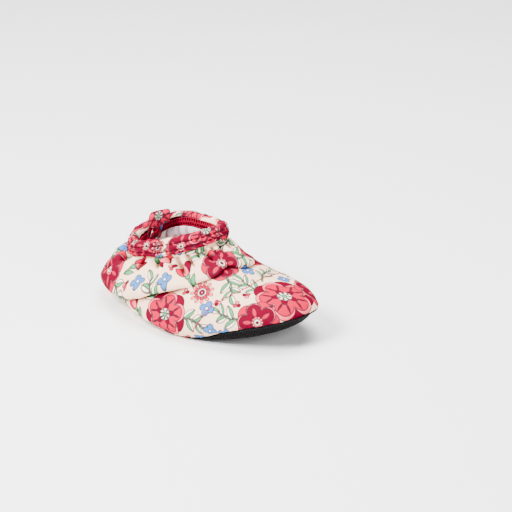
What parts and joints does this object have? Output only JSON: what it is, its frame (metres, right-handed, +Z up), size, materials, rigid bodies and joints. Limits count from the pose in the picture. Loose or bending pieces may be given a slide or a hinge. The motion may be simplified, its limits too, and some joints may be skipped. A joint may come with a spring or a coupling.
{
  "type": "water shoe",
  "caption": "Toddler's slip-on water shoe for the right foot: soft gathered fabric upper, elastic collar binding, heel pull loop and thin turned-up rubber sole.",
  "frame": {"origin": "middle of the shoe's length and width, on the ground under the sole", "axes": "+X towards the toe, +Y towards the inner side of the foot, +Z up"},
  "size_m": [0.143, 0.071, 0.0553],
  "materials": {
    "sole": "matt, finely textured",
    "upper": "smooth stretch swim fabric, printed",
    "collar_binding": "smooth stretch swim fabric over elastic, printed",
    "heel_loop": "smooth stretch swim fabric, printed",
    "insole": "matt lining fabric on thin foam"
  },
  "bodies": {
    "root": {"sole": "sole", "upper": "upper", "collar_binding": "collar_binding", "heel_loop": "heel_loop", "insole": "insole"}
  },
  "joints": []
}
